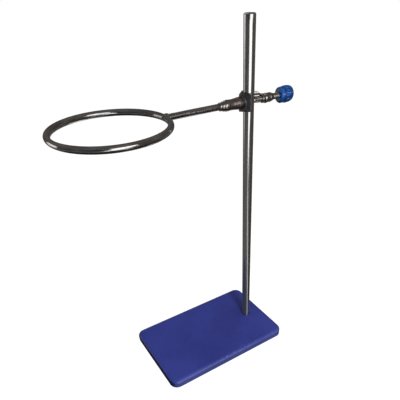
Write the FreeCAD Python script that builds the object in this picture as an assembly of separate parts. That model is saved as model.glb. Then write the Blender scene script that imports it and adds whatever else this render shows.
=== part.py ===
import FreeCAD, Part
import math
import os

# Retort stand with one ring clamp. Millimetres, +Z up.
# Origin: the rod's axis where it meets the bench. The base plate and the ring reach
# towards -X; the clamp screw and its knob point towards +X.

V = FreeCAD.Vector

# ---------------------------------------------------------------- dimensions
OVER = 1.0                # how far a cutter or a fused part runs past a face
SEAT_GAP = 0.02           # gap between parts that bear on each other
FIT = 0.05                # radial clearance of a screw in its hole

# base plate
BASE_L = 200.0            # along X
BASE_W = 130.0            # along Y
ROD_INSET = 27.5          # rod axis to the near short edge
BASE_TOP = 15.0           # top face above the bench
BASE_LIFT = 2.0           # rim above the bench
CORNER_R = 12.0           # plan corners
EDGE_R = 5.0              # rolled top edge
RIM_EDGE_R = 0.8          # outer bottom edge of the rim
RIM_T = 6.0
DECK_T = 5.0
ROOF_R = 1.5              # fillet between the deck and the rim
RIB_T = 4.0
RIB_LIFT = 4.5            # underside of the ribs above the bench
RIB_INSET = RIM_T / 2     # ribs end halfway into the rim
CROSS_RIB_X = (-130.0, -80.0, -30.0)
SIDE_RIB_Y = (-33.0, 33.0)
BOSS_R = 15.0
BOSS_Z = 9.5
SPIGOT_HOLE_R = 5.15
ROD_FIT = 0.04            # radial clearance of the rod in its counterbore
ROD_HOLE_CHAMFER = 0.6
PAD_R = 8.5               # pads above the feet
PAD_GAP = 0.01
FOOT_HOLE_TOP = 11.8
FOOT_INSET = 16.0         # foot centre to both edges

X0, X1 = ROD_INSET - BASE_L, ROD_INSET
Y0, Y1 = -BASE_W / 2, BASE_W / 2
CEILING = BASE_TOP - DECK_T
FEET = [(x, y) for x in (X0 + FOOT_INSET, X1 - FOOT_INSET)
        for y in (Y0 + FOOT_INSET, Y1 - FOOT_INSET)]

# feet
FOOT_R = 7.5
FOOT_H = 4.5
FOOT_EDGE_R = 0.9
FOOT_RECESS_R = 4.8
FOOT_RECESS_H = 3.2
FOOT_GAP = 0.01           # above and below the washer
WASHER_R = 4.5
WASHER_HOLE_R = 2.15
WASHER_T = 0.8
WASHER_TOP = FOOT_RECESS_H - FOOT_GAP
M4_R = 2.0
M4_HEAD_R = 3.8
M4_HEAD_H = 2.2
M4_LEN = 8.0
M4_CHAMFER = 0.6
HEX_CORNER_R = 1.443      # hexagon socket, centre to corner
HEX_DEPTH = 1.3

# rod
ROD_R = 6.0
ROD_TOP = 390.0
ROD_END_R = 1.2
ROD_SEAT = 13.0           # shoulder of the rod in the counterbore
SPIGOT_R = 4.9            # M10 spigot, crest radius
SPIGOT_ROOT = 4.25
SPIGOT_PITCH = 1.5
SPIGOT_TURNS = 6
SPIGOT_END = 2.5

# spring washer and nut under the plate
SPRING_R = 9.05
SPRING_HOLE_R = 5.2
SPRING_H = 2.2
SPRING_TOP = BOSS_Z - SEAT_GAP
SPRING_Z = SPRING_TOP - SPRING_H
SLIT_W = 1.2
SLIT_SLANT = 20           # degrees
SLIT_TURN = 140           # degrees about the rod
NUT_AF = 17.0
NUT_H = 4.9
NUT_CHAMFER = 0.85        # height of the chamfer on the corners
NUT_MOUTH_R = SPIGOT_R + 0.75
NUT_MOUTH_H = 0.7

# ring clamp
CLAMP_Z = 320.0           # height of the ring, stem and screw axis
V_CLEAR = 6.05            # distance from the rod's axis to each V face
JAW_T = 3.0               # wall of the V jaw
JAW_H = 16.0
JAW_TIP_R = 1.1
BAR_HALF = 4.3            # half height of the bar beside the rod
BAR_END = 3.6             # top of the bar above the screw axis at the boss
SOCKET_END = -38.2
SOCKET_FLOOR = -18.0
SCREW_BOSS_END = 32.3
M6_R = 2.98               # crest radius
M6_ROOT = 2.5
M6_PITCH = 1.0

# ring
RING_R = 55.0             # centreline radius
WIRE_R = 3.0
RING_X = -155.0
HOOP_X = RING_X + RING_R  # wire centreline where the stem meets it
STEM_END = SOCKET_FLOOR - 0.4
BEAD_HALF_L = 3.2
BEAD_R = 4.0
BEAD_STEPS = 24

# clamp screw and knob
SHANK_R = 2.8             # plain shank in the knob
GRIP_R = 3.3              # ridged end in the knob
KNOB_BACK = 40.6          # face towards the boss
KNOB_FRONT = 60.0
KNOB_R = 8.1              # grip
KNOB_HUB_R = 7.6          # plain collar on the boss side of the grip
KNOB_GROOVE = KNOB_BACK + 5.1     # start of the groove between collar and grip
KNOB_FLUTES = 10
FLUTE_R = 2.2
FLUTE_DEPTH = 0.75

# Where a ridge reaches its crest, leaves it and is back at the root, in pitches
THREAD_FORM = (0.40, 0.52, 0.92)
GRIP_FORM = (0.1875, 0.625, 0.8125)


# ------------------------------------------------------------------- helpers
def save(node, shape):
    if not shape.isValid():
        shape = shape.removeSplitter()
    shape.exportStep("parts/%s.step" % node)


def upright_edges(shape, height):
    return [e for e in shape.Edges if abs(e.BoundBox.ZLength - height) < 1e-6]


def edges_at_top(shape, z, tol=1e-6):
    return [e for e in shape.Edges if e.BoundBox.ZMin > z - tol]


def edges_at_bottom(shape, z, tol=1e-6):
    return [e for e in shape.Edges if e.BoundBox.ZMax < z + tol]


def block(x0, x1, y0, y1, z0, z1, corner_r=0.0):
    box = Part.makeBox(x1 - x0, y1 - y0, z1 - z0, V(x0, y0, z0))
    if corner_r:
        box = box.makeFillet(corner_r, upright_edges(box, z1 - z0))
    return box


def cyl(r, z0, z1, x=0.0, y=0.0):
    return Part.makeCylinder(r, z1 - z0, V(x, y, z0), V(0, 0, 1))


def xcyl(r, x0, x1, y=0.0, z=CLAMP_Z):
    return Part.makeCylinder(r, x1 - x0, V(x0, y, z), V(1, 0, 0))


def cone(r_bottom, r_top, z, height):
    return Part.makeCone(r_bottom, r_top, height, V(0, 0, z), V(0, 0, 1))


def face(points):
    return Part.Face(Part.makePolygon(points + points[:1]))


def prism(points, z0, z1):
    """Upright prism from (x, y) pairs."""
    return face([V(x, y, z0) for x, y in points]).extrude(V(0, 0, z1 - z0))


def side_prism(points, y0, y1):
    """Prism along Y from (x, height above the screw axis) pairs."""
    return face([V(x, y0, CLAMP_Z + z) for x, z in points]).extrude(V(0, y1 - y0, 0))


def hexagon(corner_r, first_angle, x=0.0, y=0.0):
    angles = [math.radians(60 * i + first_angle) for i in range(6)]
    return [(x + corner_r * math.cos(a), y + corner_r * math.sin(a)) for a in angles]


def turned_z(profile, x=0.0, y=0.0):
    """Solid of revolution about the vertical through (x, y) from (radius, z) pairs."""
    return face([V(x + r, y, z) for r, z in profile]).revolve(V(x, y, 0), V(0, 0, 1), 360)


def on_screw(x, r):
    return V(x, 0, CLAMP_Z + r)


def turned_x(profile):
    """Solid of revolution about the clamp's screw axis from (x, radius) pairs."""
    return face([on_screw(x, r) for x, r in profile]).revolve(on_screw(0, 0), V(1, 0, 0), 360)


def ridges(start, count, pitch, crest, root, form=THREAD_FORM):
    """(position, radius) pairs of a row of annular ridges."""
    rise, leave, fall = form
    pairs = []
    for i in range(count):
        at = start + i * pitch
        pairs += [(at, root), (at + rise * pitch, crest),
                  (at + leave * pitch, crest), (at + fall * pitch, root)]
    return pairs


def largest(shape):
    return max(shape.Solids, key=lambda solid: solid.Volume)


# ---------------------------------------------------------------- base plate
def base_shell():
    shell = block(X0, X1, Y0, Y1, BASE_LIFT, BASE_TOP, CORNER_R)
    shell = shell.makeFillet(EDGE_R, edges_at_top(shell, BASE_TOP))
    shell = shell.makeFillet(RIM_EDGE_R, edges_at_bottom(shell, BASE_LIFT))
    pocket = block(X0 + RIM_T, X1 - RIM_T, Y0 + RIM_T, Y1 - RIM_T,
                   BASE_LIFT - OVER, CEILING, CORNER_R - RIM_T)
    pocket = pocket.makeFillet(ROOF_R, edges_at_top(pocket, CEILING))
    return shell.cut(pocket)


def base_casting():
    base = base_shell()
    x0, x1, y0, y1 = X0 + RIB_INSET, X1 - RIB_INSET, Y0 + RIB_INSET, Y1 - RIB_INSET
    top = CEILING + OVER
    half = RIB_T / 2
    rib_end = CROSS_RIB_X[-1]
    inner = block(x0, x1, y0, y1, RIB_LIFT, top, CORNER_R - RIB_INSET)

    # cross ribs, centre rib, the pair beside the rod, foot pads, rod boss
    adds = [block(x - half, x + half, y0, y1, RIB_LIFT, top) for x in CROSS_RIB_X]
    adds.append(block(x0, rib_end, -half, half, RIB_LIFT, top))
    adds += [block(rib_end, x1, y - half, y + half, RIB_LIFT, top) for y in SIDE_RIB_Y]
    adds += [cyl(PAD_R, FOOT_H + PAD_GAP, top, x, y) for x, y in FEET]
    adds.append(cyl(BOSS_R, BOSS_Z, top))
    for add in adds:
        base = base.fuse(add.common(inner))
    base = base.removeSplitter()

    # stepped, chamfered hole for the rod, then blind holes for the foot screws
    hole_r = ROD_R + ROD_FIT
    base = base.cut(cyl(SPIGOT_HOLE_R, BOSS_Z - OVER, BASE_TOP + OVER))
    base = base.cut(cyl(hole_r, ROD_SEAT - SEAT_GAP, BASE_TOP + OVER))
    base = base.cut(cone(hole_r, hole_r + ROD_HOLE_CHAMFER,
                         BASE_TOP - ROD_HOLE_CHAMFER, ROD_HOLE_CHAMFER))
    for x, y in FEET:
        base = base.cut(cyl(M4_R + 0.03, FOOT_H - OVER, FOOT_HOLE_TOP, x, y))
    return base


# ---------------------------------------------------------------------- feet
def rubber_foot(x, y):
    foot = cyl(FOOT_R, 0, FOOT_H, x, y)
    foot = foot.makeFillet(FOOT_EDGE_R, edges_at_bottom(foot, 0))
    foot = foot.cut(cyl(FOOT_RECESS_R, -OVER, FOOT_RECESS_H, x, y))
    return foot.cut(cyl(M4_R + 0.1, 0, FOOT_H + OVER, x, y))


def foot_washer(x, y):
    washer = cyl(WASHER_R, WASHER_TOP - WASHER_T, WASHER_TOP, x, y)
    return washer.cut(cyl(WASHER_HOLE_R, 0, FOOT_H, x, y))


def foot_screw(x, y):
    """Screw pointing up, with a domed head and a hexagon socket below."""
    bearing = WASHER_TOP - WASHER_T - FOOT_GAP
    head = bearing - M4_HEAD_H
    tip = bearing + M4_LEN
    screw = turned_z([(0, head), (1.9, head), (2.9, head + 0.35), (3.55, head + 1.1),
                      (M4_HEAD_R, bearing - 0.5), (M4_HEAD_R, bearing), (M4_R, bearing),
                      (M4_R, tip - M4_CHAMFER), (M4_R - M4_CHAMFER, tip), (0, tip)], x, y)
    return screw.cut(prism(hexagon(HEX_CORNER_R, 0, x, y), head - 0.5, head + HEX_DEPTH))


def at_feet(make):
    return Part.makeCompound([make(x, y) for x, y in FEET])


# ----------------------------------------------------------- rod and fixings
def support_rod():
    rod = cyl(ROD_R, ROD_SEAT, ROD_TOP)
    rod = rod.makeFillet(ROD_END_R, edges_at_top(rod, ROD_TOP))
    thread = ridges(SPIGOT_END + 1.0, SPIGOT_TURNS, SPIGOT_PITCH, SPIGOT_R, SPIGOT_ROOT)
    neck_r = SPIGOT_ROOT - 0.1
    inside = ROD_SEAT + 0.5       # the spigot runs into the rod so that they fuse
    spigot = [(0, SPIGOT_END), (SPIGOT_ROOT - 0.4, SPIGOT_END), (SPIGOT_ROOT, SPIGOT_END + 0.5)]
    spigot += [(r, z) for z, r in thread]
    spigot += [(neck_r, thread[-1][0] + 0.2), (neck_r, inside), (0, inside)]
    return rod.fuse(turned_z(spigot)).removeSplitter()


def spring_washer():
    washer = cyl(SPRING_R, SPRING_Z, SPRING_TOP)
    washer = washer.cut(cyl(SPRING_HOLE_R, SPRING_Z - OVER, SPRING_TOP + OVER))
    slit = block(5.0, 10.0, -SLIT_W / 2, SLIT_W / 2, SPRING_Z - 2, SPRING_TOP + 2)
    slit.rotate(V(7.1, 0, SPRING_Z + SPRING_H / 2), V(1, 0, 0), SLIT_SLANT)
    slit.rotate(V(0, 0, 0), V(0, 0, 1), SLIT_TURN)
    return washer.cut(slit)


def rod_nut():
    top = SPRING_Z - SEAT_GAP
    bottom = top - NUT_H
    corner_r = NUT_AF / math.cos(math.radians(30)) / 2
    end_r = NUT_AF / 2 - 0.2
    outer_r = corner_r + 0.1
    bore_r = SPIGOT_R + FIT
    nut = prism(hexagon(corner_r, 30), bottom, top)
    nut = nut.common(turned_z([(0, bottom), (end_r, bottom), (outer_r, bottom + NUT_CHAMFER),
                               (outer_r, top - NUT_CHAMFER), (end_r, top), (0, top)]))
    nut = nut.cut(cyl(bore_r, bottom - OVER, top + OVER))
    nut = nut.cut(cone(NUT_MOUTH_R, bore_r, bottom, NUT_MOUTH_H))
    return nut.cut(cone(bore_r, NUT_MOUTH_R, top - NUT_MOUTH_H, NUT_MOUTH_H))


# ------------------------------------------------------------- clamp casting
V_APEX = -V_CLEAR * math.sqrt(2.0)                # inner corner of the 90 degree V
V_OUTER = V_APEX - JAW_T * math.sqrt(2.0)         # outer corner

# (x, radius) of the stem socket, from its turned nose to inside the jaw
SOCKET = [
    (SOCKET_END, 0), (SOCKET_END, 3.3), (SOCKET_END + 0.5, 3.8), (-35.6, 4.1), (-35.2, 3.9),
    (-34.6, 3.9), (-34.2, 4.35), (-32.6, 4.75), (-32.2, 4.5), (-31.6, 4.5), (-31.2, 4.95),
    (-29.6, 5.2), (-27.6, 5.25), (-26.4, 4.95), (-22.0, 4.9), (-17.5, 5.3),
    (-14.0, 5.7), (-5.0, 5.7), (-5.0, 0)]

# (x, radius) of the boss for the clamp screw
SCREW_BOSS = [
    (17.0, 0), (17.0, 3.9), (17.6, 4.2), (20.6, 4.25), (21.8, 4.75), (22.9, 4.75), (23.4, 4.4),
    (27.2, 4.4), (27.6, 4.6), (28.3, 4.6), (28.9, 4.35), (31.9, 3.6),
    (SCREW_BOSS_END, 3.35), (SCREW_BOSS_END, 0)]

# (x, y) of the bar in plan
BAR_PLAN = [
    (-4.4, 8.1), (1.3, 8.1), (19.5, 2.2), (19.5, -2.6), (23.0, -2.6), (23.0, 4.6),
    (21.4, 5.9), (2.0, 11.8), (-0.7, 11.8)]

# (x, height above the screw axis) of the cutter that thins the bar towards the boss
BAR_FALL = [(17.2, BAR_HALF + 0.01), (20.6, BAR_END), (24.0, BAR_END), (24.0, 9.0), (17.2, 9.0)]

# the web on top of the bar: (x, height above the screw axis), then (x, y) in plan
WEB_SIDE = [
    (-0.5, 2.5), (-0.5, 7.4), (2.0, 7.2), (11.0, 6.6), (16.2, 6.1),
    (19.6, BAR_END - 0.2), (19.6, 2.5)]
WEB_PLAN = [(-0.5, 9.7), (1.7, 9.7), (20.6, 3.95), (21.2, 5.96), (2.0, 11.8), (-0.5, 11.8)]


def v_jaw():
    """V open towards +X, with rounded ends on its -Y arm, and the stem socket."""
    step = JAW_T / math.sqrt(2.0)                 # wall thickness along X and along Y
    tip = (-3.0, 3.0 + V_OUTER)                   # outer corner of the -Y arm's end
    tip_in = (tip[0] + step, tip[1] + step)
    far_tip = (-0.7, -0.7 - V_OUTER)              # outer corner of the +Y arm's end
    far_tip_in = (far_tip[0] + step, far_tip[1] - step)
    jaw = prism([(V_OUTER, 0.0), tip, tip_in, (V_APEX, 0.0), far_tip_in, far_tip],
                CLAMP_Z - JAW_H / 2, CLAMP_Z + JAW_H / 2)
    tip_edges = [e for e in upright_edges(jaw, JAW_H)
                 if any(math.hypot(e.CenterOfMass.x - x, e.CenterOfMass.y - y) < 1e-3
                        for x, y in (tip, tip_in))]
    jaw = jaw.makeFillet(JAW_TIP_R, tip_edges)
    return jaw.fuse(turned_x(SOCKET)).removeSplitter()


def side_bar():
    """Bar from the +Y arm of the V, slanting past the rod to the screw boss."""
    top, bottom = CLAMP_Z + BAR_HALF, CLAMP_Z - BAR_HALF

    def faces_rod(edge):
        return edge.CenterOfMass.y < 8.2 and edge.CenterOfMass.x < 12 and edge.Length > 5

    def faces_out(edge):
        c = edge.CenterOfMass
        return (edge.BoundBox.ZLength < 1e-3 and c.y > 4.0 and c.x > -0.5
                and edge.Length > 1.0 and math.hypot(c.x, c.y) > 11.0)

    bar = prism(BAR_PLAN, bottom, top)
    bar = bar.makeFillet(2.4, [e for e in edges_at_top(bar, top, 1e-3) if faces_rod(e)])
    bar = bar.makeFillet(0.9, [e for e in edges_at_bottom(bar, bottom, 1e-3) if faces_rod(e)])
    bar = bar.makeFillet(0.9, [e for e in bar.Edges if faces_out(e)])
    bar = bar.cut(side_prism(BAR_FALL, 0.0, 14.0))
    web = side_prism(WEB_SIDE, 4.0, 13.0).common(prism(WEB_PLAN, CLAMP_Z, CLAMP_Z + 9))
    return bar.fuse(web).removeSplitter()


def clamp_boss():
    clamp = v_jaw().fuse([side_bar(), turned_x(SCREW_BOSS)])
    # clear the inside of the V, then bore for the stem and the screw
    arm_y = 0.3 + V_APEX
    opening = [(V_APEX, 0.0), (-0.3, arm_y), (9.0, arm_y), (9.0, 8.0), (8.0 + V_APEX, 8.0)]
    clamp = clamp.cut(prism(opening, CLAMP_Z - 20, CLAMP_Z + 20))
    clamp = clamp.cut(xcyl(WIRE_R + 0.03, SOCKET_END - OVER, SOCKET_FLOOR))
    clamp = clamp.cut(xcyl(M6_R + FIT, 15.0, SCREW_BOSS_END + OVER))
    return clamp.removeSplitter()


# ---------------------------------------------------------------------- ring
def ring_hoop(gap=0.0):
    return Part.makeTorus(RING_R, WIRE_R + gap, V(RING_X, 0, CLAMP_Z), V(0, 0, 1))


def ring_stem():
    stem = xcyl(WIRE_R, HOOP_X + 1.4, STEM_END)
    stem = stem.makeFillet(0.6, [e for e in stem.Edges if e.BoundBox.XMin > STEM_END - 0.1])
    return largest(stem.cut(ring_hoop(SEAT_GAP)))


def hoop_weld():
    """Elliptical bead around the joint of stem and hoop."""
    middle = HOOP_X + 2.0
    angles = [math.pi * i / BEAD_STEPS for i in range(1, BEAD_STEPS)]
    bead = [(middle - BEAD_HALF_L, 0.0)]
    bead += [(middle - BEAD_HALF_L * math.cos(a), BEAD_R * math.sin(a)) for a in angles]
    bead.append((middle + BEAD_HALF_L, 0.0))
    weld = turned_x(bead).cut(ring_hoop(SEAT_GAP))
    return largest(weld.cut(xcyl(WIRE_R + SEAT_GAP, HOOP_X - 5, HOOP_X + 10)))


# ------------------------------------------------------ clamp screw and knob
def clamp_screw():
    tip = ROD_R + 0.03
    return turned_x([(tip, 0), (tip, 1.3), (tip + 0.35, 1.7), (17.2, M6_ROOT + 0.1)]
                    + ridges(18.0, 22, M6_PITCH, M6_R, M6_ROOT)
                    + [(40.2, SHANK_R), (44.8, SHANK_R)]
                    + ridges(45.2, 4, 1.6, GRIP_R, 2.9, GRIP_FORM)
                    + [(51.8, 2.9), (51.8, 0)])


# (x, radius) runs, each from the end of the one before:
# one point draws a line to it, two draw an arc through the first to the second
KNOB_RUNS = [
    [(KNOB_BACK, 5.4)],
    [(KNOB_BACK + 0.75, KNOB_HUB_R - 0.65), (KNOB_BACK + 2.6, KNOB_HUB_R)],
    [(KNOB_GROOVE, KNOB_HUB_R + 0.05)],
    [(KNOB_GROOVE + 0.7, KNOB_HUB_R - 0.6), (KNOB_GROOVE + 1.4, KNOB_HUB_R - 0.1)],
    [(KNOB_GROOVE + 1.9, KNOB_R - 0.18), (KNOB_GROOVE + 2.9, KNOB_R)],
    [(KNOB_GROOVE + 6.6, KNOB_R - 0.06), (KNOB_FRONT - 4.6, KNOB_R - 0.45)],
    [(KNOB_FRONT - 2.0, KNOB_R - 1.75), (KNOB_FRONT - 0.7, KNOB_R - 3.8)],
    [(KNOB_FRONT, 2.6)],
    [(KNOB_FRONT, 0)],
    [(KNOB_BACK, 0)]]


def knob():
    outline = []
    start = on_screw(KNOB_BACK, 0)
    for run in KNOB_RUNS:
        points = [start] + [on_screw(x, r) for x, r in run]
        if len(run) == 1:
            outline.append(Part.makeLine(*points))
        else:
            outline.append(Part.Arc(*points).toShape())
        start = points[-1]
    body = Part.Face(Part.Wire(outline)).revolve(on_screw(0, 0), V(1, 0, 0), 360)
    flute_at = KNOB_R + FLUTE_R - FLUTE_DEPTH
    for i in range(KNOB_FLUTES):
        a = 2 * math.pi * (i + 0.5) / KNOB_FLUTES
        body = body.cut(xcyl(FLUTE_R, KNOB_GROOVE + 0.7, KNOB_FRONT + OVER,
                             flute_at * math.cos(a), CLAMP_Z + flute_at * math.sin(a)))
    body = body.cut(xcyl(SHANK_R + FIT, KNOB_BACK - OVER, 45.0))
    return body.cut(xcyl(GRIP_R + FIT, 44.9, 52.0)).removeSplitter()


os.makedirs("parts", exist_ok=True)
save("base_casting", base_casting())
save("rubber_feet", at_feet(rubber_foot))
save("foot_washers", at_feet(foot_washer))
save("foot_screws", at_feet(foot_screw))
for build in (support_rod, spring_washer, rod_nut, clamp_boss, ring_hoop, ring_stem,
              hoop_weld, clamp_screw, knob):
    save(build.__name__, build())
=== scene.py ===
import math

import bmesh
import bpy
import numpy as np
from mathutils import Matrix, Vector


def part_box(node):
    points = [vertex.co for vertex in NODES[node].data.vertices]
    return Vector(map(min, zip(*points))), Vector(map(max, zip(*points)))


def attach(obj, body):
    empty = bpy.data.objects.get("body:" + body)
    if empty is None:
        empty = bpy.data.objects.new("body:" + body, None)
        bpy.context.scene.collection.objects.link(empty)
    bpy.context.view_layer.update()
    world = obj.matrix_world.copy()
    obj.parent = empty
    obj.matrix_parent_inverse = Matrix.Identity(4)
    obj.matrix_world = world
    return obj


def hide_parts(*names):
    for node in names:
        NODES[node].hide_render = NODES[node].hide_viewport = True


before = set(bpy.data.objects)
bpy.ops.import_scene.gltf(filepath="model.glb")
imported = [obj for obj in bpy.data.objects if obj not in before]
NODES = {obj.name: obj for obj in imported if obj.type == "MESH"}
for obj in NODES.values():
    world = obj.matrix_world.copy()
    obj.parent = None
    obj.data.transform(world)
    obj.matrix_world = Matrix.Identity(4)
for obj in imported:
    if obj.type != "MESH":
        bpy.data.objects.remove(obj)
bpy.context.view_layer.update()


MM = 0.001

# ------------------------------------------------------------------ mesh tools


def new_object(name, verts, faces, smooth=True):
    me = bpy.data.meshes.new(name)
    me.from_pydata([tuple(float(q) for q in v) for v in verts], [], faces)
    me.validate()
    me.update()
    for p in me.polygons:
        p.use_smooth = smooth
    ob = bpy.data.objects.new(name, me)
    bpy.context.scene.collection.objects.link(ob)
    return ob


def turned(name, rings, axis_point, axis, segs, closed_ends=True):
    """Surface from (position along axis, radius function of angle) rings, capped with a point at both ends."""
    origin, a = Vector(axis_point), Vector(axis).normalized()
    u = a.orthogonal().normalized()
    if abs(a.x) > 0.9:
        u = Vector((0, 0, 1))
    w = a.cross(u)
    verts, faces = [], []
    n = len(rings)
    for t, rf in rings:
        for j in range(segs):
            th = 2 * math.pi * j / segs
            r = rf(th)
            verts.append(origin + a * t + (u * math.cos(th) + w * math.sin(th)) * r)
    for i in range(n - 1):
        for j in range(segs):
            k = (j + 1) % segs
            faces.append((i * segs + j, i * segs + k, (i + 1) * segs + k, (i + 1) * segs + j))
    if closed_ends:
        verts.append(origin + a * rings[0][0])
        verts.append(origin + a * rings[-1][0])
        for j in range(segs):
            k = (j + 1) % segs
            faces.append((n * segs, k, j))
            faces.append((n * segs + 1, (n - 1) * segs + j, (n - 1) * segs + k))
    ob = new_object(name, verts, faces)
    bm = bmesh.new()
    bm.from_mesh(ob.data)
    bmesh.ops.recalc_face_normals(bm, faces=bm.faces)
    bm.to_mesh(ob.data)
    bm.free()
    return ob


def dense(profile, step):
    """Straight runs of a profile split so that no piece is longer than step."""
    out = [profile[0]]
    for (x0, r0), (x1, r1) in zip(profile, profile[1:]):
        n = max(1, int(math.ceil(math.hypot(x1 - x0, r1 - r0) / step)))
        for i in range(1, n + 1):
            out.append((x0 + (x1 - x0) * i / n, r0 + (r1 - r0) * i / n))
    return out


def rounded(profile, times=2):
    """Chaikin corner cutting, which keeps both end points."""
    for _ in range(times):
        out = [profile[0]]
        for (x0, r0), (x1, r1) in zip(profile, profile[1:]):
            out.append((x0 * 0.75 + x1 * 0.25, r0 * 0.75 + r1 * 0.25))
            out.append((x0 * 0.25 + x1 * 0.75, r0 * 0.25 + r1 * 0.75))
        out.append(profile[-1])
        profile = out
    return profile


def sharp_by_angle(ob, degrees):
    me = ob.data
    if "custom_normal" in me.attributes:
        me.attributes.remove(me.attributes["custom_normal"])
    for p in me.polygons:
        p.use_smooth = True
    me.set_sharp_from_angle(angle=math.radians(degrees))


def smooth_min(a, b, k):
    h = max(k - abs(a - b), 0.0) / k
    return min(a, b) - h * h * k * 0.25


# -------------------------------------------------------------- material tools


class Nodes:
    """Short calls for building a node tree."""

    def __init__(self, tree):
        self.t = tree
        self.t.nodes.clear()

    def add(self, kind, inputs=None, **props):
        n = self.t.nodes.new(kind)
        for k, v in props.items():
            setattr(n, k, v)
        for k, v in (inputs or {}).items():
            self.put(n, k, v)
        return n

    def put(self, node, key, value):
        sock = node.inputs[key]
        if isinstance(value, bpy.types.NodeSocket):
            self.t.links.new(value, sock)
        else:
            sock.default_value = value

    def math(self, op, a, b=0.0, c=0.0, clamp=False):
        n = self.add("ShaderNodeMath", {0: a, 1: b, 2: c}, operation=op, use_clamp=clamp)
        return n.outputs[0]

    def vmath(self, op, a, b=(0, 0, 0)):
        n = self.add("ShaderNodeVectorMath", {0: a, 1: b}, operation=op)
        return n.outputs["Value"] if op in ("DOT_PRODUCT", "LENGTH", "DISTANCE") else n.outputs["Vector"]

    def remap(self, v, a, b, c=0.0, d=1.0, kind="SMOOTHSTEP"):
        n = self.add("ShaderNodeMapRange", {"Value": v, "From Min": a, "From Max": b, "To Min": c, "To Max": d},
                     interpolation_type=kind, clamp=True)
        return n.outputs["Result"]

    def noise(self, vec, scale, detail=2.0, rough=0.5, distortion=0.0):
        n = self.add("ShaderNodeTexNoise", {"Vector": vec, "Scale": scale, "Detail": detail,
                                            "Roughness": rough, "Distortion": distortion})
        return n.outputs["Fac"]

    def scaled(self, vec, sx, sy, sz):
        return self.vmath("MULTIPLY", vec, (sx, sy, sz))

    def mix(self, fac, a, b):
        n = self.add("ShaderNodeMix", data_type="RGBA", clamp_factor=True)
        self.put(n, "Factor", fac)
        rgba = [s for s in n.inputs if s.type == "RGBA"]
        for s, v in zip(rgba, (a, b)):
            if isinstance(v, bpy.types.NodeSocket):
                self.t.links.new(v, s)
            else:
                s.default_value = (*v[:3], 1.0)
        return [s for s in n.outputs if s.type == "RGBA"][0]

    def bump(self, height, strength, distance, normal=None):
        ins = {"Height": height, "Strength": strength, "Distance": distance}
        if normal is not None:
            ins["Normal"] = normal
        return self.add("ShaderNodeBump", ins).outputs["Normal"]


def material(name):
    m = bpy.data.materials.new(name)
    m.use_nodes = True
    n = Nodes(m.node_tree)
    coord = n.add("ShaderNodeTexCoord").outputs["Object"]
    bsdf = n.add("ShaderNodeBsdfPrincipled")
    out = n.add("ShaderNodeOutputMaterial")
    m.node_tree.links.new(bsdf.outputs[0], out.inputs["Surface"])
    return m, n, coord, bsdf


def srgb(r, g, b):
    return tuple(((c / 255 + 0.055) / 1.055) ** 2.4 if c > 10 else c / 255 / 12.92 for c in (r, g, b))


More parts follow.
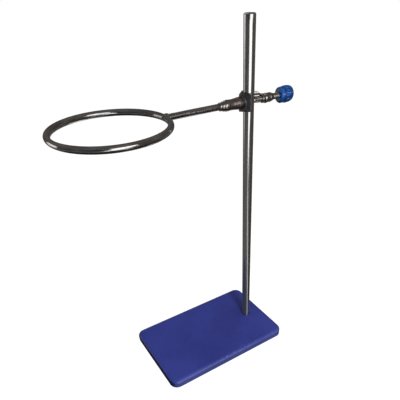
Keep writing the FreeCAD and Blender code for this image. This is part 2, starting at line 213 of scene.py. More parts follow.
def paint():
    """Thick semi-gloss indigo enamel over cast iron: orange peel, faint cloudiness, dust nibs, rubbed edges, with
    painted light on the front face, painted shade on the short end and a painted sheen in glossy rays.
    """
    m, n, co, b = material("base_paint")
    geo = n.add("ShaderNodeNewGeometry")
    cloud = n.noise(co, 14.0, 3.0, 0.55)
    fine = n.noise(co, 240.0, 2.0, 0.5)
    tint = n.math("ADD", n.math("MULTIPLY", cloud, 0.75), n.math("MULTIPLY", fine, 0.25))
    col = n.mix(n.remap(tint, 0.35, 0.65), PAINT_DARK, PAINT_LIGHT)
    # rubbed places on the rolled edge, where the sideways normal is neither up nor level
    nz = n.add("ShaderNodeSeparateXYZ", {0: geo.outputs["Normal"]}).outputs["Z"]
    rolled = n.math("MULTIPLY", n.remap(nz, 0.15, 0.5), n.remap(nz, 0.98, 0.8))
    rub = n.math("MULTIPLY", n.remap(n.noise(co, 120.0, 6.0, 0.65), 0.56, 0.68), rolled)
    col = n.mix(n.math("MULTIPLY", rub, 0.30), col, PAINT_RUB)
    # the sides: painted light on the front face and painted shade on the short -X end, both set by the surface
    # normal
    nrm = n.add("ShaderNodeSeparateXYZ", {0: geo.outputs["Normal"]}).outputs
    front_painted_light = n.math("MULTIPLY", n.remap(nrm[1], -0.55, -0.95), 0.45)
    col = n.mix(n.math("MULTIPLY", front_painted_light, n.remap(fine, 0.3, 0.6, 0.7, 1.0)), col, (0.062, 0.078, 0.200))
    end_painted_shade = n.math("MULTIPLY", n.remap(nrm[0], -0.55, -0.95), 0.72)
    # painted shade: the short -X end is mixed towards near black
    col = n.mix(end_painted_shade, col, (0.004, 0.005, 0.016))
    # dust nibs under the paint and a few fine hairline scuffs on the deck
    vor = n.add("ShaderNodeTexVoronoi", {"Vector": co, "Scale": 260.0, "Randomness": 1.0}, feature="F1")
    nib = n.math("MULTIPLY", n.remap(vor.outputs["Distance"], 0.10, 0.03),
                 n.remap(n.noise(co, 55.0, 1.0), 0.58, 0.64))
    scuff_a = n.noise(n.scaled(co, 60.0, 1400.0, 400.0), 1.0, 2.0, 0.5, 0.6)
    scuff_b = n.noise(n.scaled(co, 1250.0, 80.0, 400.0), 1.0, 2.0, 0.5, 0.6)
    where = n.remap(n.noise(co, 22.0, 2.0), 0.52, 0.68)
    scuff = n.math("MULTIPLY", n.math("MAXIMUM", n.remap(scuff_a, 0.70, 0.76), n.remap(scuff_b, 0.71, 0.77)), where)
    col = n.mix(n.math("MULTIPLY", scuff, 0.16), col, PAINT_RUB)
    # painted reflection: in glossy rays, as seen in the polished rod, the plate's colour is swapped for a grey that
    # stands for the sheen on it
    mirrored = n.add("ShaderNodeLightPath").outputs["Is Glossy Ray"]
    col = n.mix(n.math("MULTIPLY", mirrored, 0.75), col, (0.050, 0.052, 0.066))
    n.put(b, "Base Color", col)
    # painted sheen: the plate glows faintly, only for glossy rays coming from the directions of the rod's foot
    ix, iy, iz = n.add("ShaderNodeSeparateXYZ", {0: geo.outputs["Incoming"]}).outputs
    toward = n.math("MULTIPLY", n.math("ARCTAN2", iy, ix), 180 / math.pi)
    painted_sheen = n.math("MULTIPLY", n.remap(toward, 74.0, 88.0), n.remap(toward, 128.0, 112.0))
    n.put(b, "Emission Color", (0.88, 0.94, 1.0, 1.0))
    n.put(b, "Emission Strength", n.math("MULTIPLY", n.math("MULTIPLY", painted_sheen, mirrored), 0.30))
    rough = n.math("ADD", n.remap(cloud, 0.3, 0.7, 0.33, 0.42), n.math("MULTIPLY", scuff, 0.12))
    n.put(b, "Roughness", n.math("ADD", rough, n.math("MULTIPLY", rub, 0.12)))
    n.put(b, "IOR", 1.5)
    # the short -X end also gets less specular and coat, which keeps its painted shade dark
    n.put(b, "Specular IOR Level", n.remap(nrm[0], -0.55, -0.95, 0.5, 0.12))
    n.put(b, "Coat Weight", n.remap(nrm[0], -0.55, -0.95, 0.22, 0.04))
    n.put(b, "Coat Roughness", 0.16)
    peel = n.noise(co, 520.0, 2.0, 0.45)
    nm = n.bump(peel, 0.55, 0.00014)
    nm = n.bump(n.noise(co, 3600.0, 2.0, 0.5), 0.10, 0.00002, nm)
    nm = n.bump(nib, 0.5, 0.00006, nm)
    n.put(b, "Normal", nm)
    return m


def steel_rod():
    """Bright drawn stainless rod: lengthwise draw lines, a faint round polish, smudges."""
    m, n, co, b = material("rod_steel")
    # angle round the rod and height, so that the grain wraps the cylinder
    sep = n.add("ShaderNodeSeparateXYZ", {0: co})
    x, y, z = sep.outputs
    draw = n.noise(n.scaled(co, 2600.0, 2600.0, 9.0), 1.0, 3.0, 0.6)
    rings = n.noise(n.scaled(co, 14.0, 14.0, 5200.0), 1.0, 2.0, 0.5)
    smear = n.noise(n.scaled(co, 60.0, 60.0, 22.0), 1.0, 4.0, 0.6)
    col = n.mix(n.remap(draw, 0.35, 0.65), (0.53, 0.525, 0.51), (0.66, 0.655, 0.64))
    col = n.mix(n.math("MULTIPLY", n.remap(smear, 0.52, 0.72), 0.35), col, (0.42, 0.41, 0.39))
    n.put(b, "Base Color", col)
    n.put(b, "Metallic", 1.0)
    r = n.math("ADD", n.remap(smear, 0.35, 0.75, 0.085, 0.19), n.math("MULTIPLY", n.remap(draw, 0.4, 0.7), 0.05))
    n.put(b, "Roughness", r)
    nm = n.bump(draw, 0.10, 0.00003)
    nm = n.bump(rings, 0.06, 0.00001, nm)
    n.put(b, "Normal", nm)
    return m


def wire_plating(name, hoop):
    """Plated drawn wire: draw lines along the wire, slow waviness under the plating, thin spots gone dull."""
    m, n, co, b = material(name)
    x, y, z = n.add("ShaderNodeSeparateXYZ", {0: co}).outputs
    if hoop:
        dx = n.math("SUBTRACT", x, RING_X)
        flat_r = n.math("SQRT", n.math("ADD", n.math("MULTIPLY", dx, dx), n.math("MULTIPLY", y, y)))
        lay = n.add("ShaderNodeCombineXYZ", {0: n.math("MULTIPLY", flat_r, 950.0), 1: n.math("MULTIPLY", z, 950.0),
                                             2: n.math("MULTIPLY", y, 55.0)}).outputs[0]
        lines = n.add("ShaderNodeTexNoise", {"Vector": lay, "W": n.math("MULTIPLY", x, 55.0), "Scale": 1.0,
                                             "Detail": 3.0, "Roughness": 0.6}, noise_dimensions="4D").outputs["Fac"]
    else:
        lines = n.noise(n.scaled(co, 30.0, 950.0, 950.0), 1.0, 3.0, 0.6)
    slow = n.noise(co, 90.0, 3.0, 0.55)
    spots = n.noise(co, 420.0, 5.0, 0.7)
    tarn = n.remap(n.noise(co, 38.0, 5.0, 0.65), 0.48, 0.72)
    col = n.mix(n.remap(lines, 0.38, 0.62), (0.34, 0.33, 0.32), (0.66, 0.645, 0.63))
    col = n.mix(n.math("MULTIPLY", tarn, 0.7), col, (0.31, 0.285, 0.265))
    pit = n.remap(spots, 0.66, 0.74)
    col = n.mix(n.math("MULTIPLY", pit, 0.6), col, (0.10, 0.09, 0.07))
    n.put(b, "Base Color", col)
    n.put(b, "Metallic", 1.0)
    n.put(b, "Roughness", n.math("ADD", n.remap(slow, 0.35, 0.7, 0.06, 0.15), n.math("MULTIPLY", pit, 0.25)))
    nm = n.bump(slow, 1.0, 0.00022)
    nm = n.bump(lines, 1.0, 0.00014, nm)
    nm = n.bump(n.math("SUBTRACT", 1.0, pit), 0.5, 0.00003, nm)
    n.put(b, "Normal", nm)
    return m


def casting():
    """Nickel over an as-cast skin: dull and brownish along the socket, brighter on turned ends, with a painted shade
    darkening the jaw.
    """
    m, n, co, b = material("clamp_plating")
    x, y, z = n.add("ShaderNodeSeparateXYZ", {0: co}).outputs
    slow = n.noise(co, 90.0, 3.0, 0.55)
    grain = n.noise(co, 700.0, 3.0, 0.55)
    spots = n.noise(co, 420.0, 5.0, 0.7)
    tarn = n.remap(n.noise(co, 38.0, 5.0, 0.65), 0.48, 0.72)
    jaw_painted_shade = n.math("MULTIPLY", n.remap(x, -0.0135, -0.0095), n.remap(x, 0.0035, 0.0005))
    skin = n.math("MULTIPLY", n.remap(x, -0.0305, -0.0265), n.remap(x, 0.0035, 0.0005))
    col = n.mix(n.math("MULTIPLY", tarn, 0.7), (0.42, 0.395, 0.375), (0.24, 0.215, 0.195))
    col = n.mix(skin, col, n.mix(n.remap(spots, 0.4, 0.62), (0.36, 0.305, 0.285), (0.25, 0.205, 0.19)))
    # painted shade: the jaw block is darkened as if it mirrored a dark room
    col = n.mix(n.math("MULTIPLY", jaw_painted_shade, 0.8), col, (0.11, 0.11, 0.125))
    pit = n.remap(spots, 0.66, 0.74)
    col = n.mix(n.math("MULTIPLY", pit, 0.6), col, (0.085, 0.07, 0.055))
    n.put(b, "Base Color", col)
    n.put(b, "Metallic", 1.0)
    rough = n.math("ADD", n.remap(slow, 0.35, 0.7, 0.12, 0.26), n.math("MULTIPLY", pit, 0.25))
    n.put(b, "Roughness", n.math("ADD", rough, n.math("MULTIPLY", skin, 0.20)))
    nm = n.bump(slow, 1.0, 0.0004)
    nm = n.bump(grain, 0.8, 0.0001, nm)
    nm = n.bump(n.math("SUBTRACT", 1.0, pit), 0.5, 0.00003, nm)
    n.put(b, "Normal", nm)
    return m


def weld_metal():
    m, n, co, b = material("weld_bead_metal")
    heat = n.noise(co, 260.0, 3.0, 0.5)
    sep = n.add("ShaderNodeSeparateXYZ", {0: co})
    col = n.mix(n.remap(heat, 0.38, 0.62), (0.30, 0.27, 0.24), (0.46, 0.43, 0.39))
    col = n.mix(n.math("MULTIPLY", n.remap(n.noise(co, 700.0, 4.0, 0.6), 0.55, 0.7), 0.7), col, (0.10, 0.085, 0.075))
    n.put(b, "Base Color", col)
    n.put(b, "Metallic", 1.0)
    n.put(b, "Roughness", n.remap(heat, 0.3, 0.7, 0.16, 0.36))
    n.put(b, "Normal", n.bump(n.noise(co, 900.0, 4.0, 0.6), 0.7, 0.00025))
    return m


def zinc(name, base, rough):
    """Bright zinc plate: soft mottling, light handling marks."""
    m, n, co, b = material(name)
    mott = n.add("ShaderNodeTexVoronoi", {"Vector": co, "Scale": 900.0}, feature="SMOOTH_F1").outputs["Distance"]
    hand = n.noise(co, 130.0, 4.0, 0.6)
    col = n.mix(n.remap(mott, 0.1, 0.7), base, tuple(c * 0.78 for c in base))
    col = n.mix(n.math("MULTIPLY", n.remap(hand, 0.55, 0.72), 0.6), col, (base[0] * 0.5, base[1] * 0.47, base[2] * 0.42))
    n.put(b, "Base Color", col)
    n.put(b, "Metallic", 1.0)
    n.put(b, "Roughness", n.remap(hand, 0.3, 0.75, rough, rough + 0.16))
    n.put(b, "Normal", n.bump(n.noise(co, 2400.0, 3.0, 0.5), 0.25, 0.00003))
    return m


def rubber():
    m, n, co, b = material("foot_rubber")
    dust = n.noise(co, 210.0, 5.0, 0.65)
    col = n.mix(n.remap(dust, 0.45, 0.75), (0.012, 0.012, 0.013), (0.045, 0.043, 0.040))
    n.put(b, "Base Color", col)
    n.put(b, "Roughness", n.remap(dust, 0.3, 0.7, 0.55, 0.8))
    n.put(b, "Specular IOR Level", 0.35)
    n.put(b, "Normal", n.bump(n.noise(co, 1900.0, 4.0, 0.6), 0.5, 0.00008))
    return m


def plastic():
    """Injection-moulded gloss plastic with a slight flow pattern, sink and handling marks, plus painted shade
    towards the outline and in the groove.
    """
    m, n, co, b = material("knob_plastic")
    flow = n.noise(n.scaled(co, 130.0, 55.0, 55.0), 1.0, 3.0, 0.5, 0.4)
    col = n.mix(n.remap(flow, 0.35, 0.65), KNOB_DARK, KNOB_LIGHT)
    hand = n.remap(n.noise(co, 420.0, 5.0, 0.7), 0.55, 0.72)
    col = n.mix(n.math("MULTIPLY", hand, 0.12), col, (0.10, 0.22, 0.50))
    # painted shade: darker where the surface turns away from the view, towards the outline
    facing = n.add("ShaderNodeLayerWeight", {"Blend": 0.5}).outputs["Facing"]
    col = n.mix(n.remap(facing, 0.12, 0.85), col, tuple(c * 0.22 for c in KNOB_DARK))
    # painted shade in the groove between hub and grip
    kx = n.add("ShaderNodeSeparateXYZ", {0: co}).outputs[0]
    groove_painted_shade = n.math("MULTIPLY", n.remap(kx, GROOVE - 0.0010, GROOVE - 0.0002), n.remap(kx, GROOVE + 0.0012, GROOVE + 0.0004))
    col = n.mix(n.math("MULTIPLY", groove_painted_shade, 0.85), col, tuple(c * 0.18 for c in KNOB_DARK))
    n.put(b, "Base Color", col)
    n.put(b, "Roughness", n.math("ADD", n.remap(flow, 0.3, 0.7, 0.17, 0.26), n.math("MULTIPLY", hand, 0.10)))
    n.put(b, "IOR", 1.52)
    n.put(b, "Subsurface Weight", 0.08)
    n.put(b, "Subsurface Radius", (0.0004, 0.0006, 0.0012))
    n.put(b, "Coat Weight", 0.25)
    n.put(b, "Coat Roughness", 0.08)
    nm = n.bump(n.noise(co, 330.0, 2.0, 0.5), 0.25, 0.00012)
    nm = n.bump(n.noise(co, 2600.0, 2.0, 0.5), 0.15, 0.00002, nm)
    n.put(b, "Normal", nm)
    return m


_lo, _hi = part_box("ring_hoop")
RING_X = (_lo.x + _hi.x) / 2
PAINT_DARK = srgb(36, 44, 112)
PAINT_LIGHT = srgb(42, 51, 124)
PAINT_RUB = srgb(98, 106, 170)
KNOB_DARK = srgb(5, 53, 110)
KNOB_LIGHT = srgb(11, 69, 138)
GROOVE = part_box("clamp_screw")[1].x - 0.0112 + 0.0058

MAT_PAINT = paint()
MAT_ROD = steel_rod()
MAT_RING = wire_plating("ring_plating", True)
MAT_STEM = wire_plating("stem_plating", False)
MAT_CAST = casting()
MAT_WELD = weld_metal()
MAT_SCREW = zinc("screw_steel", (0.62, 0.60, 0.54), 0.16)
MAT_FIX = zinc("zinc_fixings", (0.60, 0.60, 0.62), 0.24)
MAT_RUBBER = rubber()
MAT_KNOB = plastic()


def dress(ob, mat):
    ob.data.materials.clear()
    ob.data.materials.append(mat)
    return ob


# ------------------------------------------------------------- carried-over CAD
for node, mat, slot, deg in (
    ("base_casting", MAT_PAINT, "base_paint", 28),
    ("rubber_feet", MAT_RUBBER, "foot_rubber", 30),
    ("foot_washers", MAT_FIX, "zinc_fixings", 30),
    ("foot_screws", MAT_FIX, "zinc_fixings", 30),
    ("spring_washer", MAT_FIX, "zinc_fixings", 30),
    ("rod_nut", MAT_FIX, "zinc_fixings", 25),
    ("ring_stem", MAT_STEM, "ring_plating", 30),
    ("ring_hoop", MAT_RING, "ring_plating", 60),
    ("clamp_boss", MAT_CAST, "clamp_plating", 30),
):
    ob = dress(NODES[node], mat)
    sharp_by_angle(ob, deg)

# the casting gets the soft, slightly uneven edges of a foundry piece
boss = NODES["clamp_boss"]
rm = boss.modifiers.new("cast_skin", "REMESH")
rm.mode = "VOXEL"
rm.voxel_size = 0.00028
rm.use_smooth_shade = True
sm = boss.modifiers.new("cast_soften", "SMOOTH")
sm.factor = 0.5
sm.iterations = 7

for node, width in (("rod_nut", 0.00018), ("spring_washer", 0.00012), ("foot_washers", 0.0001)):
    bv = NODES[node].modifiers.new("broken_edges", "BEVEL")
    bv.width = width
    bv.segments = 2
    bv.limit_method = "ANGLE"
    bv.angle_limit = math.radians(30)

# --------------------------------------------------------------------- the rod
rod_lo, rod_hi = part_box("support_rod")
R = (rod_hi.x - rod_lo.x) / 2
top, foot = rod_hi.z, rod_lo.z
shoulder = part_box("base_casting")[1].z - 0.002


def thread_rings(t0, t1, crest, root, pitch, taper0, taper1, step, hand=1):
    """Rings of a helical thread: a 60 degree profile wound round the axis, running out at both ends."""
    out = []
    count = int(round((t1 - t0) / step))
    for i in range(count + 1):
        t = t0 + (t1 - t0) * i / count
        fade = min(1.0, max(0.0, (t - t0) / taper0)) * min(1.0, max(0.0, (t1 - t) / taper1))

        def rf(th, t=t, fade=fade):
            ph = (t / pitch - hand * th / (2 * math.pi)) % 1.0
            tri = 1.0 - abs(2.0 * ph - 1.0)
            tri = min(max((tri - 0.12) / 0.74, 0.0), 1.0)
            return root + (crest - root) * tri * fade

        out.append((t, rf))
    return out


def flat(r):
    return lambda th: r


rings = [(foot, flat(0.0034)), (foot + 0.00004, flat(0.0037)), (foot + 0.0005, flat(0.00425))]
rings += thread_rings(foot + 0.0006, shoulder - 0.0012, 0.0049, 0.0042, 0.0015, 0.0008, 0.0008, 0.0015 / 12)
rings += [(shoulder - 0.0010, flat(0.0041)), (shoulder - 0.00005, flat(0.0041)), (shoulder, flat(R - 0.0006)),
          (shoulder + 0.0002, flat(R - 0.0002)), (shoulder + 0.0005, flat(R - 0.00002))]
body = []
zz = shoulder + 0.0006
while zz < top - 0.0013:
    body.append((zz, flat(R)))
    zz += 0.008
rings += body
for i in range(9):
    a = math.pi / 2 * i / 8
    rings.append((top - 0.0012 + 0.0012 * math.sin(a), flat(R - 0.0012 + 0.0012 * math.cos(a))))
rings += [(top, flat(R * 0.5)), (top, flat(R * 0.1))]
rod = turned("rod_polished", rings, (0, 0, 0), (0, 0, 1), 96)
dress(rod, MAT_ROD)
rod.data.set_sharp_from_angle(angle=math.radians(48))
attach(rod, "rod")
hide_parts("support_rod")

# ----------------------------------------------------------------- clamp screw
sc_lo, sc_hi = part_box("clamp_screw")
ax_z = (sc_lo.z + sc_hi.z) / 2
x_tip = sc_lo.x
prof = [(x_tip, 0.0010), (x_tip + 0.00006, 0.00125), (x_tip + 0.00032, 0.0016), (0.0168, 0.0025), (0.0172, 0.00255)]
rings = [(x, flat(r)) for x, r in dense(prof, 0.0012)]
rings += thread_rings(0.0174, 0.0404, 0.00298, 0.00246, 0.001, 0.0006, 0.0006, 0.001 / 12)
rings += [(0.0407, flat(0.0028)), (0.0440, flat(0.0028)), (0.0449, flat(0.0028))]


def knurl(th):
    return 0.0031 + 0.00018 * math.cos(24 * th)


rings += [(0.0451, knurl), (0.0480, knurl), (0.0514, knurl), (0.0518, flat(0.0028))]
screw = turned("screw_threaded", rings, (0, 0, ax_z), (1, 0, 0), 64)
dress(screw, MAT_SCREW)
screw.data.set_sharp_from_angle(angle=math.radians(50))
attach(screw, "clamp_screw")
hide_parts("clamp_screw")

# ------------------------------------------------------------------------ knob
k_lo, k_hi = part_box("knob")
KR = 8.1
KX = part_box("clamp_screw")[1].x / MM - 11.2
KL = 19.4


def arc(p, q, m, steps):
    """Points on the circle from p to q through m."""
    (x1, y1), (x2, y2), (x3, y3) = p, m, q
    d = 2 * (x1 * (y2 - y3) + x2 * (y3 - y1) + x3 * (y1 - y2))
    ux = ((x1 ** 2 + y1 ** 2) * (y2 - y3) + (x2 ** 2 + y2 ** 2) * (y3 - y1) + (x3 ** 2 + y3 ** 2) * (y1 - y2)) / d
    uy = ((x1 ** 2 + y1 ** 2) * (x3 - x2) + (x2 ** 2 + y2 ** 2) * (x1 - x3) + (x3 ** 2 + y3 ** 2) * (x2 - x1)) / d
    r = math.hypot(x1 - ux, y1 - uy)
    a0, a1 = math.atan2(y1 - uy, x1 - ux), math.atan2(y3 - uy, x3 - ux)
    am = math.atan2(y2 - uy, x2 - ux)
    if not min(a0, a1) - 1e-9 <= am <= max(a0, a1) + 1e-9:
        a1 += 2 * math.pi if a1 < a0 else -2 * math.pi
    return [(ux + r * math.cos(a0 + (a1 - a0) * i / steps), uy + r * math.sin(a0 + (a1 - a0) * i / steps))
            for i in range(steps + 1)]


HUB_R, STEP = 7.6, 5.1
kp = [(0.0, 2.86), (0.0, 5.0)]
kp += arc((0.0, 5.4), (2.6, HUB_R), (0.75, HUB_R - 0.65), 10)
kp += [(3.6, HUB_R + 0.02), (STEP - 0.1, HUB_R + 0.05)]
kp += arc((STEP, HUB_R + 0.05), (STEP + 1.4, HUB_R - 0.1), (STEP + 0.7, HUB_R - 0.6), 8)[1:]
kp += arc((STEP + 1.4, HUB_R - 0.1), (STEP + 2.9, KR), (STEP + 1.9, KR - 0.18), 8)[1:]
kp += arc((STEP + 2.9, KR), (KL - 4.6, KR - 0.45), (STEP + 6.6, KR - 0.06), 14)[1:]
kp += arc((KL - 4.6, KR - 0.45), (KL - 0.7, KR - 3.8), (KL - 2.0, KR - 1.75), 14)[1:]
kp += [(KL - 0.02, 2.8), (KL, 2.4), (KL - 0.02, 1.3), (KL - 0.05, 0.9), (KL - 0.22, 0.75), (KL - 0.24, 0.05)]
kp = dense(rounded(kp, 1), 0.25)
FR, FD, LOBES = 2.2, 0.75, 10
rr = KR + FR - FD


def lobed(x, r):
    grip = min(1.0, max(0.0, (x - STEP - 0.9) / 0.5))

    def rf(th):
        step = 2 * math.pi / LOBES
        d = ((th + step / 2) % step) - step / 2
        s = rr * math.sin(d)
        if abs(s) >= FR + 0.4 or r < 5.8 or grip <= 0:
            return r * MM
        cut = rr * math.cos(d) - math.sqrt(max(FR * FR - s * s, 0.0)) + max(abs(s) - FR, 0.0) * 4
        return (r + (smooth_min(r, cut, 0.45) - r) * grip) * MM

    return rf


rings = [(a * MM, lobed(a, b)) for a, b in kp]
knob = turned("knob_moulded", rings, (KX * MM, 0, ax_z), (1, 0, 0), 240)
dress(knob, MAT_KNOB)
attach(knob, "knob")
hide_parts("knob")

# ------------------------------------------------------------------- weld bead
w_lo, w_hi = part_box("hoop_weld")
hoop_lo, hoop_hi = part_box("ring_hoop")
wire = (hoop_hi.z - hoop_lo.z) / 2
mid = hoop_hi.x - wire + 0.0020
wr = (w_hi.z - w_lo.z) / 2
bead = []
for i in range(29):
    a = math.pi * i / 28
    t = -3.2 * MM * math.cos(a)

    def rf(th, a=a):
        lump = 1.0 + 0.035 * math.sin(5 * th + 0.6) + 0.022 * math.sin(9 * th + 2.0 + 3 * a) + 0.02 * math.sin(14 * a + th)
        return max(0.00002, wr * math.sin(a) * min(lump, 1.03) * 0.97)

    bead.append((t, rf))
weld = turned("weld_bead", bead, (mid, 0, ax_z), (1, 0, 0), 72)
dress(weld, MAT_WELD)
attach(weld, "clamp")
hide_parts("hoop_weld")

# ---------------------------------------------------------------------- floor
bpy.ops.mesh.primitive_plane_add(size=1.0)
floor = bpy.context.active_object
floor.name = "studio_floor"
floor.scale = (12, 12, 1)
fm = bpy.data.materials.new("floor_paper")
fm.use_nodes = True
n = Nodes(fm.node_tree)
co = n.add("ShaderNodeTexCoord").outputs["Object"]
lp = n.add("ShaderNodeLightPath")
geo = n.add("ShaderNodeNewGeometry")
grain = n.remap(n.noise(co, 3.0, 2.0), 0.3, 0.7)
lit = n.add("ShaderNodeBsdfDiffuse", {"Color": n.mix(grain, (0.20, 0.20, 0.205), (0.215, 0.215, 0.215))})
pale = n.add("ShaderNodeEmission", {"Color": (1.0, 1.0, 1.0, 1.0), "Strength": 0.90})
paper = n.add("ShaderNodeAddShader")
fm.node_tree.links.new(lit.outputs[0], paper.inputs[0])
fm.node_tree.links.new(pale.outputs[0], paper.inputs[1])
weak = n.add("ShaderNodeBsdfDiffuse", {"Color": (0.10, 0.10, 0.10, 1.0)})
seen_by = n.add("ShaderNodeMixShader", {0: lp.outputs["Is Camera Ray"]})
fm.node_tree.links.new(weak.outputs[0], seen_by.inputs[1])
fm.node_tree.links.new(paper.outputs[0], seen_by.inputs[2])
clear = n.add("ShaderNodeBsdfTransparent")
hide = n.math("MAXIMUM", lp.outputs["Is Glossy Ray"], geo.outputs["Backfacing"])
mixs = n.add("ShaderNodeMixShader", {0: hide})
fm.node_tree.links.new(seen_by.outputs[0], mixs.inputs[1])
fm.node_tree.links.new(clear.outputs[0], mixs.inputs[2])
out = n.add("ShaderNodeOutputMaterial")
fm.node_tree.links.new(mixs.outputs[0], out.inputs["Surface"])
floor.data.materials.append(fm)

# ---------------------------------------------------------------- studio light
world = bpy.data.worlds.new("studio")
bpy.context.scene.world = world
world.use_nodes = True
n = Nodes(world.node_tree)
ray = n.add("ShaderNodeTexCoord").outputs["Generated"]
sep = n.add("ShaderNodeSeparateXYZ", {0: ray})
azimuth = n.math("MULTIPLY", n.math("ARCTAN2", sep.outputs["Y"], sep.outputs["X"]), 180 / math.pi)
azimuth = n.math("ADD", azimuth, n.math("MULTIPLY", n.math("LESS_THAN", azimuth, 0.0), 360.0))
elevation = n.math("MULTIPLY", n.math("ARCSINE", sep.outputs["Z"]), 180 / math.pi)


def between(v, lo, hi, soft):
    """1 between lo and hi, easing to 0 over soft either side of each edge."""
    return n.math("MULTIPLY", n.remap(v, lo - soft, lo + soft), n.remap(v, hi + soft, hi - soft))


def window(az0, az1, el0, el1, strength, soft=2.5, along=None):
    m = n.math("MULTIPLY", between(azimuth if along is None else along, az0, az1, soft),
               between(elevation, el0, el1, soft))
    return n.math("MULTIPLY", m, strength)


# the big window in front, its slanting lower edge, and the bench edge that catches its light
below = n.math("MULTIPLY", n.math("MINIMUM", n.math("ADD", elevation, 10.0), 0.0), 3.4)
lower = n.math("MULTIPLY", n.remap(azimuth, 232.0, 237.0), n.remap(n.math("SUBTRACT", azimuth, below), 285.0, 280.0))
lower = n.math("MULTIPLY", n.math("MULTIPLY", lower, between(elevation, -20.0, -1.0, 2.0)), 1.8)
slant = n.math("ADD", azimuth, n.math("MULTIPLY", n.math("ADD", elevation, 26.0), 2.77))
FILL_BACK, FILL_FRONT = 0.03, 1.15
total = n.math("ADD", n.remap(elevation, -22.0, -10.0, 0.135, 0.10), n.remap(elevation, 10.0, 40.0, 0.0, 0.03))
dim = n.math("MULTIPLY", between(azimuth, 292.0, 350.0, 10.0), n.remap(elevation, -4.0, -26.0))
total = n.math("MULTIPLY", total, n.math("SUBTRACT", 1.0, n.math("MULTIPLY", dim, 0.55)))
dim = n.math("MULTIPLY", between(azimuth, 190.0, 241.0, 5.0), between(elevation, -1.0, 22.0, 4.0))
total = n.math("MULTIPLY", total, n.math("SUBTRACT", 1.0, n.math("MULTIPLY", dim, 0.62)))
dim = n.math("MULTIPLY", n.math("GREATER_THAN", azimuth, 66.0), n.remap(elevation, -33.0, -44.0))
total = n.math("MULTIPLY", total, n.math("SUBTRACT", 1.0, n.math("MULTIPLY", dim, 0.78)))
for p in (
    window(245, 294, -1.0, 34.0, 1.8, 2.5),
    lower,
    window(234, 254, -43.0, -23.0, 0.72, 3.0, along=slant),
    window(118, 146, -7.0, 13.0, 1.2, 2.2),
    window(118, 146, -17.0, -7.0, 0.5, 2.2),
    window(4, 66, -68.0, -51.0, 0.8, 4.0),
):
    total = n.math("ADD", total, p)
# the bench is in the stand's own shade on the far left
shade = n.math("MULTIPLY", between(azimuth, 60.0, 150.0, 14.0), between(elevation, -50.0, -38.0, 4.0))
total = n.math("MULTIPLY", total, n.math("SUBTRACT", 1.0, n.math("MULTIPLY", shade, 0.85)))
lp = n.add("ShaderNodeLightPath")
seen = n.add("ShaderNodeBackground", {"Color": (1, 1, 1, 1), "Strength": 1.0})
side = n.vmath("DOT_PRODUCT", ray, (0.42, -0.74, 0.52))
soft = n.remap(side, -0.1, 1.0, FILL_BACK, FILL_FRONT, "SMOOTHSTEP")
fill = n.add("ShaderNodeBackground", {"Color": (1.0, 0.985, 0.97, 1), "Strength": soft})
cool = between(azimuth, 165.0, 285.0, 14.0)
dusk = n.mix(cool, (1.0, 0.90, 0.83), (0.94, 0.98, 1.02))
warm = n.mix(n.remap(total, 0.15, 0.9), dusk, (1.0, 1.0, 1.0))
mirror = n.add("ShaderNodeBackground", {"Color": warm, "Strength": total})
m1 = n.add("ShaderNodeMixShader", {0: lp.outputs["Is Glossy Ray"]})
world.node_tree.links.new(fill.outputs[0], m1.inputs[1])
world.node_tree.links.new(mirror.outputs[0], m1.inputs[2])
m2 = n.add("ShaderNodeMixShader", {0: lp.outputs["Is Camera Ray"]})
world.node_tree.links.new(m1.outputs[0], m2.inputs[1])
world.node_tree.links.new(seen.outputs[0], m2.inputs[2])
out = n.add("ShaderNodeOutputWorld")
world.node_tree.links.new(m2.outputs[0], out.inputs["Surface"])


def area(name, at, towards, size, watts, glossy=True):
    d = bpy.data.lights.new(name, "AREA")
    d.shape = "DISK"
    d.size = size
    d.energy = watts
    o = bpy.data.objects.new(name, d)
    bpy.context.scene.collection.objects.link(o)
    o.location = at
    o.rotation_euler = (Vector(towards) - Vector(at)).to_track_quat("-Z", "Y").to_euler()
    o.visible_camera = False
    o.visible_glossy = glossy
    return o


area("key", (-0.28, -1.36, 1.16), (0, 0, 0.1), 0.40, 30.0, False)
area("top", (0.5, -0.1, 1.9), (0, 0, 0.0), 1.2, 4.0, False)

# a second window behind, seen only in the bright metal and the knob
metal = bpy.data.collections.new("window_lit")
for ob in (NODES["ring_stem"], NODES["clamp_boss"], rod, screw, weld, knob):
    metal.objects.link(ob)
az, el, far = math.radians(70.5), math.radians(36), 3.0
mid_ring = Vector((-0.10, 0.0, ax_z))
at = mid_ring + Vector((math.cos(el) * math.cos(az), math.cos(el) * math.sin(az), math.sin(el))) * far
back = area("back_window", at, mid_ring, 1.0, 1.0)
back.data.shape = "RECTANGLE"
back.data.size = 2 * far * math.tan(math.radians(9.0))
back.data.size_y = 2 * far * math.tan(math.radians(16.0))
back.data.energy = 1.7 * math.pi * back.data.size * back.data.size_y
back.visible_diffuse = False
back.light_linking.receiver_collection = metal

# a lamp's glint on the knob's shoulder
glint_on = bpy.data.collections.new("glint_lit")
glint_on.objects.link(knob)
az, el, far = math.radians(311), math.radians(7.5), 1.2
mid_knob = Vector((0.050, 0.0, ax_z))
at = mid_knob + Vector((math.cos(el) * math.cos(az), math.cos(el) * math.sin(az), math.sin(el))) * far
glint = area("glint", at, mid_knob, 2 * far * math.tan(math.radians(3.6)), 1.0)
glint.data.energy = 13.0 * math.pi * math.pi * (glint.data.size / 2) ** 2
glint.visible_diffuse = False
glint.light_linking.receiver_collection = glint_on

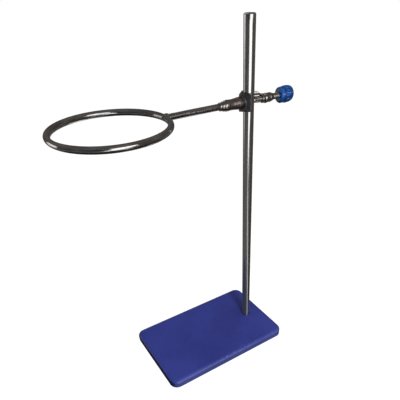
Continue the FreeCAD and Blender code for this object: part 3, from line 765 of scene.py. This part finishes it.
# --------------------------------------------------------------------- camera
cam_data = bpy.data.cameras.new("camera")
cam = bpy.data.objects.new("camera", cam_data)
bpy.context.scene.collection.objects.link(cam)
bpy.context.scene.camera = cam
FOCAL, PX, PY = 351.348, 231.491, 338.490
YAW, PITCH, ROLL = 0.99600, 0.80999, -0.02686
fwd = Vector((math.cos(PITCH) * math.cos(YAW), math.cos(PITCH) * math.sin(YAW), -math.sin(PITCH)))
right = fwd.cross(Vector((0, 0, 1))).normalized()
up = right.cross(fwd)
c, s = math.cos(ROLL), math.sin(ROLL)
r2, u2 = c * right + s * up, -s * right + c * up
cam.matrix_world = Matrix(((r2.x, u2.x, -fwd.x, -0.262669), (r2.y, u2.y, -fwd.y, -0.359095),
                           (r2.z, u2.z, -fwd.z, 0.417959), (0, 0, 0, 1)))
cam_data.sensor_width = 36.0
cam_data.lens = FOCAL / 400.0 * 36.0


def shift_at_home(prop, value):
    """The lens shift belongs to the main picture's camera position; from anywhere else the lens is centred."""
    curve = cam_data.driver_add(prop)
    curve.driver.type = "SUM"
    var = curve.driver.variables.new()
    var.type = "LOC_DIFF"
    var.targets[0].id = cam
    var.targets[1].id = home
    while len(curve.modifiers):
        curve.modifiers.remove(curve.modifiers[0])
    while len(curve.keyframe_points):
        curve.keyframe_points.remove(curve.keyframe_points[0])
    for distance, v in ((-0.1, value), (0.02, value), (0.05, 0.0), (1.0, 0.0)):
        curve.keyframe_points.insert(distance, v)
    for key in curve.keyframe_points:
        key.interpolation = "LINEAR"
    curve.extrapolation = "CONSTANT"


home = bpy.data.objects.new("camera_home", None)
home.location = cam.matrix_world.translation
home.empty_display_size = 0.01
bpy.context.scene.collection.objects.link(home)
shift_at_home("shift_x", (200.0 - PX) / 400.0)
shift_at_home("shift_y", (PY - 200.0) / 400.0)
cam_data.clip_start, cam_data.clip_end = 0.01, 20.0

scene = bpy.context.scene
scene.view_settings.view_transform = "Standard"
scene.view_settings.look = "None"
scene.view_settings.exposure = 0.0
scene.view_settings.gamma = 1.0
